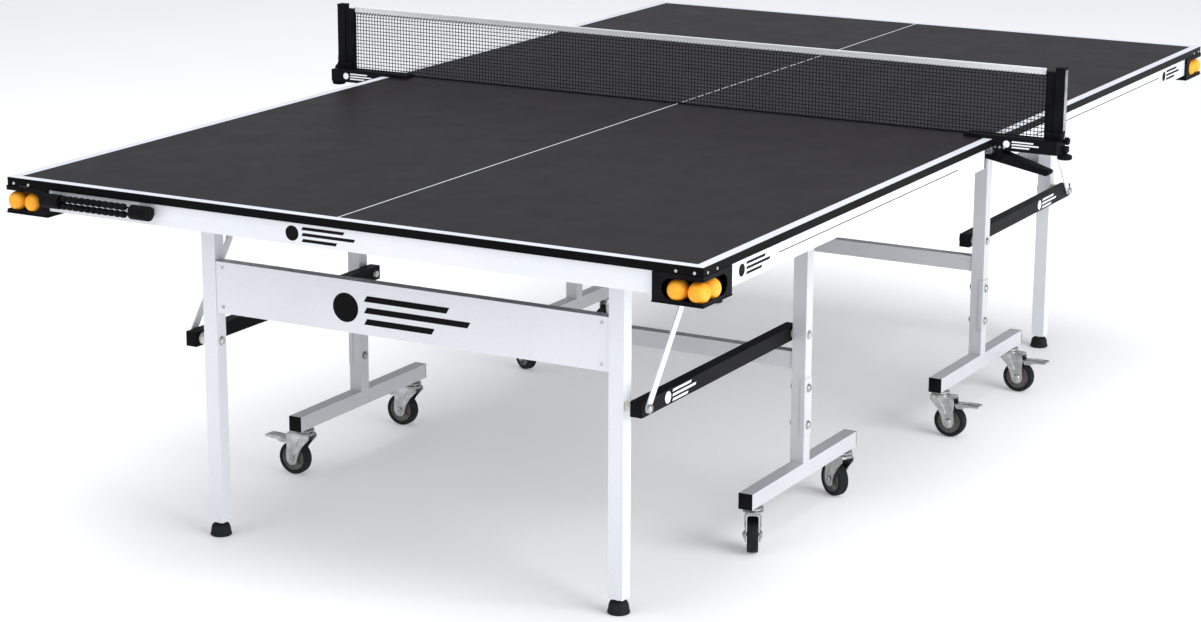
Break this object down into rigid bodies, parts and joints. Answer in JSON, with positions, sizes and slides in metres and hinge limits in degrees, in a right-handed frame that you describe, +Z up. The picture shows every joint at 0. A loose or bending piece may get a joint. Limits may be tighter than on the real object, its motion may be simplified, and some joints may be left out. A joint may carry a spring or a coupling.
{
  "type": "ping pong table",
  "caption": "Folding indoor table tennis table: two wheeled halves that tip up on trolleys, hinged end legs, clamp-on net, corner ball holders and bead scorer.",
  "frame": {"origin": "on the floor under the middle of the net", "axes": "+X along the table away from the near end, +Y across it to the near half's left side, +Z up"},
  "size_m": [2.772, 1.81, 0.9155],
  "materials": {
    "playing_panel": "charcoal matt coating on composite board with white lines and a black edge",
    "white_steel": "gloss white powder coat",
    "grey_steel": "light grey powder coat",
    "black_steel": "satin black powder coat",
    "zinc_steel": "bright zinc plate",
    "black_plastic": "moulded black plastic",
    "foot_rubber": "black rubber",
    "caster_tyre": "grey rubber tyre on a grey nylon hub",
    "net_mesh": "black knotted mesh with a white top tape"
  },
  "bodies": {
    "near_trolley": {"near_trolley_frame": "grey_steel", "near_trolley_foot_left": "grey_steel", "near_trolley_foot_right": "grey_steel"},
    "near_top": {"near_panel": "playing_panel", "near_apron_frame": "white_steel", "near_ball_holder_left": "black_plastic", "near_ball_holder_right": "black_plastic", "net": "net_mesh", "net_bracket_left": "black_plastic", "net_bracket_right": "black_plastic", "scorer_rack": "black_plastic"},
    "near_legs": {"near_leg_frame": "white_steel"},
    "near_side_bars": {"near_side_bar_left": "black_steel", "near_side_bar_right": "black_steel"},
    "near_stays_lower": {"near_stay_lower_left": "grey_steel", "near_stay_lower_right": "grey_steel"},
    "near_stays_upper": {"near_stay_upper_left": "grey_steel", "near_stay_upper_right": "grey_steel"},
    "near_leveller_left": {"near_leveller_left": "foot_rubber"},
    "near_leveller_right": {"near_leveller_right": "foot_rubber"},
    "far_trolley": {"far_trolley_frame": "grey_steel", "far_trolley_foot_left": "grey_steel", "far_trolley_foot_right": "grey_steel"},
    "far_top": {"far_panel": "playing_panel", "far_apron_frame": "white_steel", "far_ball_holder_left": "black_plastic", "far_ball_holder_right": "black_plastic"},
    "far_legs": {"far_leg_frame": "white_steel"},
    "far_side_bars": {"far_side_bar_left": "black_steel", "far_side_bar_right": "black_steel"},
    "far_stays_lower": {"far_stay_lower_left": "grey_steel", "far_stay_lower_right": "grey_steel"},
    "far_stays_upper": {"far_stay_upper_left": "grey_steel", "far_stay_upper_right": "grey_steel"},
    "far_leveller_left": {"far_leveller_left": "foot_rubber"},
    "far_leveller_right": {"far_leveller_right": "foot_rubber"},
    "near_caster_fork_left_outer": {"near_caster_fork_left_outer": "zinc_steel"},
    "near_caster_wheel_left_outer": {"near_caster_wheel_left_outer": "caster_tyre"},
    "near_caster_pedal_left_outer": {"near_caster_pedal_left_outer": "zinc_steel"},
    "near_caster_fork_left_inner": {"near_caster_fork_left_inner": "zinc_steel"},
    "near_caster_wheel_left_inner": {"near_caster_wheel_left_inner": "caster_tyre"},
    "near_caster_pedal_left_inner": {"near_caster_pedal_left_inner": "zinc_steel"},
    "near_caster_fork_right_outer": {"near_caster_fork_right_outer": "zinc_steel"},
    "near_caster_wheel_right_outer": {"near_caster_wheel_right_outer": "caster_tyre"},
    "near_caster_fork_right_inner": {"near_caster_fork_right_inner": "zinc_steel"},
    "near_caster_wheel_right_inner": {"near_caster_wheel_right_inner": "caster_tyre"},
    "far_caster_fork_left_outer": {"far_caster_fork_left_outer": "zinc_steel"},
    "far_caster_wheel_left_outer": {"far_caster_wheel_left_outer": "caster_tyre"},
    "far_caster_pedal_left_outer": {"far_caster_pedal_left_outer": "zinc_steel"},
    "far_caster_fork_left_inner": {"far_caster_fork_left_inner": "zinc_steel"},
    "far_caster_wheel_left_inner": {"far_caster_wheel_left_inner": "caster_tyre"},
    "far_caster_pedal_left_inner": {"far_caster_pedal_left_inner": "zinc_steel"},
    "far_caster_fork_right_outer": {"far_caster_fork_right_outer": "zinc_steel"},
    "far_caster_wheel_right_outer": {"far_caster_wheel_right_outer": "caster_tyre"},
    "far_caster_fork_right_inner": {"far_caster_fork_right_inner": "zinc_steel"},
    "far_caster_wheel_right_inner": {"far_caster_wheel_right_inner": "caster_tyre"},
    "net_clamp_lever_left": {"net_clamp_lever_left": "black_plastic"},
    "net_clamp_lever_right": {"net_clamp_lever_right": "black_plastic"},
    "scorer_beads_upper": {"scorer_beads_upper": "black_plastic"},
    "scorer_beads_lower": {"scorer_beads_lower": "black_plastic"}
  },
  "joints": [
    {"name": "near_fold", "type": "hinge", "parent": "near_trolley", "child": "near_top", "pos_m": [-0.485, 0, 0.70599], "axis": [0, 1, 0], "range_deg": [0, 90]},
    {"name": "near_legs_swing", "type": "hinge", "parent": "near_top", "child": "near_legs", "pos_m": [-1.115, 0, 0.70599], "axis": [0, 1, 0], "range_deg": [-90, 0]},
    {"name": "near_side_bars_swing", "type": "hinge", "parent": "near_trolley", "child": "near_side_bars", "pos_m": [-0.485, 0, 0.41096], "axis": [0, 1, 0], "range_deg": [0, 90]},
    {"name": "near_stays_lower_swing", "type": "hinge", "parent": "near_legs", "child": "near_stays_lower", "pos_m": [-1.115, 0, 0.41096], "axis": [0, 1, 0], "range_deg": [-41, 0]},
    {"name": "near_stays_upper_swing", "type": "hinge", "parent": "near_top", "child": "near_stays_upper", "pos_m": [-0.87, 0, 0.72399], "axis": [0, 1, 0], "range_deg": [0, 51]},
    {"name": "near_leveller_left_screw", "type": "slide", "parent": "near_legs", "child": "near_leveller_left", "axis": [0, 0, -1], "range_m": [0, 0.015]},
    {"name": "near_leveller_right_screw", "type": "slide", "parent": "near_legs", "child": "near_leveller_right", "axis": [0, 0, -1], "range_m": [0, 0.015]},
    {"name": "far_half_rolls_away", "type": "slide", "parent": "near_trolley", "child": "far_trolley", "axis": [1, 0, 0], "range_m": [0, 0.5]},
    {"name": "far_fold", "type": "hinge", "parent": "far_trolley", "child": "far_top", "pos_m": [0.485, 0, 0.70599], "axis": [0, -1, 0], "range_deg": [0, 90]},
    {"name": "far_legs_swing", "type": "hinge", "parent": "far_top", "child": "far_legs", "pos_m": [1.115, 0, 0.70599], "axis": [0, -1, 0], "range_deg": [-90, 0]},
    {"name": "far_side_bars_swing", "type": "hinge", "parent": "far_trolley", "child": "far_side_bars", "pos_m": [0.485, 0, 0.41096], "axis": [0, -1, 0], "range_deg": [0, 90]},
    {"name": "far_stays_lower_swing", "type": "hinge", "parent": "far_legs", "child": "far_stays_lower", "pos_m": [1.115, 0, 0.41096], "axis": [0, -1, 0], "range_deg": [-41, 0]},
    {"name": "far_stays_upper_swing", "type": "hinge", "parent": "far_top", "child": "far_stays_upper", "pos_m": [0.87, 0, 0.72399], "axis": [0, -1, 0], "range_deg": [0, 51]},
    {"name": "far_leveller_left_screw", "type": "slide", "parent": "far_legs", "child": "far_leveller_left", "axis": [0, 0, -1], "range_m": [0, 0.015]},
    {"name": "far_leveller_right_screw", "type": "slide", "parent": "far_legs", "child": "far_leveller_right", "axis": [0, 0, -1], "range_m": [0, 0.015]},
    {"name": "near_caster_swivel_left_outer", "type": "hinge", "parent": "near_trolley", "child": "near_caster_fork_left_outer", "pos_m": [-0.7, 0.541, 0.1], "axis": [0, 0, 1], "continuous": true},
    {"name": "near_caster_roll_left_outer", "type": "hinge", "parent": "near_caster_fork_left_outer", "child": "near_caster_wheel_left_outer", "pos_m": [-0.7, 0.567, 0.037], "axis": [-1, 0, 0], "continuous": true},
    {"name": "near_caster_brake_left_outer", "type": "hinge", "parent": "near_caster_fork_left_outer", "child": "near_caster_pedal_left_outer", "pos_m": [-0.7, 0.581, 0.0807], "axis": [-1, 0, 0], "range_deg": [0, 12]},
    {"name": "near_caster_swivel_left_inner", "type": "hinge", "parent": "near_trolley", "child": "near_caster_fork_left_inner", "pos_m": [-0.27, 0.541, 0.1], "axis": [0, 0, 1], "continuous": true},
    {"name": "near_caster_roll_left_inner", "type": "hinge", "parent": "near_caster_fork_left_inner", "child": "near_caster_wheel_left_inner", "pos_m": [-0.27, 0.567, 0.037], "axis": [-1, 0, 0], "continuous": true},
    {"name": "near_caster_brake_left_inner", "type": "hinge", "parent": "near_caster_fork_left_inner", "child": "near_caster_pedal_left_inner", "pos_m": [-0.27, 0.581, 0.0807], "axis": [-1, 0, 0], "range_deg": [0, 12]},
    {"name": "near_caster_swivel_right_outer", "type": "hinge", "parent": "near_trolley", "child": "near_caster_fork_right_outer", "pos_m": [-0.7, -0.541, 0.1], "axis": [0, 0, 1], "continuous": true},
    {"name": "near_caster_roll_right_outer", "type": "hinge", "parent": "near_caster_fork_right_outer", "child": "near_caster_wheel_right_outer", "pos_m": [-0.67663, -0.5296, 0.037], "axis": [-0.4384, 0.8988, 0], "continuous": true},
    {"name": "near_caster_swivel_right_inner", "type": "hinge", "parent": "near_trolley", "child": "near_caster_fork_right_inner", "pos_m": [-0.27, -0.541, 0.1], "axis": [0, 0, 1], "continuous": true},
    {"name": "near_caster_roll_right_inner", "type": "hinge", "parent": "near_caster_fork_right_inner", "child": "near_caster_wheel_right_inner", "pos_m": [-0.257, -0.51848, 0.037], "axis": [-0.866, 0.5, 0], "continuous": true},
    {"name": "far_caster_swivel_left_outer", "type": "hinge", "parent": "far_trolley", "child": "far_caster_fork_left_outer", "pos_m": [0.7, -0.541, 0.1], "axis": [0, 0, 1], "continuous": true},
    {"name": "far_caster_roll_left_outer", "type": "hinge", "parent": "far_caster_fork_left_outer", "child": "far_caster_wheel_left_outer", "pos_m": [0.7, -0.567, 0.037], "axis": [1, 0, 0], "continuous": true},
    {"name": "far_caster_brake_left_outer", "type": "hinge", "parent": "far_caster_fork_left_outer", "child": "far_caster_pedal_left_outer", "pos_m": [0.7, -0.581, 0.0807], "axis": [1, 0, 0], "range_deg": [0, 12]},
    {"name": "far_caster_swivel_left_inner", "type": "hinge", "parent": "far_trolley", "child": "far_caster_fork_left_inner", "pos_m": [0.27, -0.541, 0.1], "axis": [0, 0, 1], "continuous": true},
    {"name": "far_caster_roll_left_inner", "type": "hinge", "parent": "far_caster_fork_left_inner", "child": "far_caster_wheel_left_inner", "pos_m": [0.27, -0.567, 0.037], "axis": [1, 0, 0], "continuous": true},
    {"name": "far_caster_brake_left_inner", "type": "hinge", "parent": "far_caster_fork_left_inner", "child": "far_caster_pedal_left_inner", "pos_m": [0.27, -0.581, 0.0807], "axis": [1, 0, 0], "range_deg": [0, 12]},
    {"name": "far_caster_swivel_right_outer", "type": "hinge", "parent": "far_trolley", "child": "far_caster_fork_right_outer", "pos_m": [0.7, 0.541, 0.1], "axis": [0, 0, 1], "continuous": true},
    {"name": "far_caster_roll_right_outer", "type": "hinge", "parent": "far_caster_fork_right_outer", "child": "far_caster_wheel_right_outer", "pos_m": [0.67663, 0.5524, 0.037], "axis": [-0.4384, -0.8988, 0], "continuous": true},
    {"name": "far_caster_swivel_right_inner", "type": "hinge", "parent": "far_trolley", "child": "far_caster_fork_right_inner", "pos_m": [0.27, 0.541, 0.1], "axis": [0, 0, 1], "continuous": true},
    {"name": "far_caster_roll_right_inner", "type": "hinge", "parent": "far_caster_fork_right_inner", "child": "far_caster_wheel_right_inner", "pos_m": [0.283, 0.56352, 0.037], "axis": [-0.866, 0.5, 0], "continuous": true},
    {"name": "net_clamp_left", "type": "hinge", "parent": "near_top", "child": "net_clamp_lever_left", "pos_m": [-0.0208, 0.7755, 0.7275], "axis": [1, 0, 0], "range_deg": [0, 14]},
    {"name": "net_clamp_right", "type": "hinge", "parent": "near_top", "child": "net_clamp_lever_right", "pos_m": [-0.0208, -0.7755, 0.7275], "axis": [-1, 0, 0], "range_deg": [0, 14]},
    {"name": "scorer_upper_slide", "type": "slide", "parent": "near_top", "child": "scorer_beads_upper", "axis": [0, -1, 0], "range_m": [0, 0.012]},
    {"name": "scorer_lower_slide", "type": "slide", "parent": "near_top", "child": "scorer_beads_lower", "axis": [0, -1, 0], "range_m": [0, 0.012]}
  ],
  "couplings": [
    {"joint": "near_legs_swing", "follows": "near_fold", "ratio": -1},
    {"joint": "near_side_bars_swing", "follows": "near_fold", "ratio": 1},
    {"joint": "near_stays_lower_swing", "follows": "near_fold", "ratio": -0.4507},
    {"joint": "near_stays_upper_swing", "follows": "near_fold", "ratio": 0.5566},
    {"joint": "far_half_rolls_away", "follows": "near_fold", "m_per_rad": 0.318},
    {"joint": "far_legs_swing", "follows": "far_fold", "ratio": -1},
    {"joint": "far_side_bars_swing", "follows": "far_fold", "ratio": 1},
    {"joint": "far_stays_lower_swing", "follows": "far_fold", "ratio": -0.4507},
    {"joint": "far_stays_upper_swing", "follows": "far_fold", "ratio": 0.5566}
  ]
}
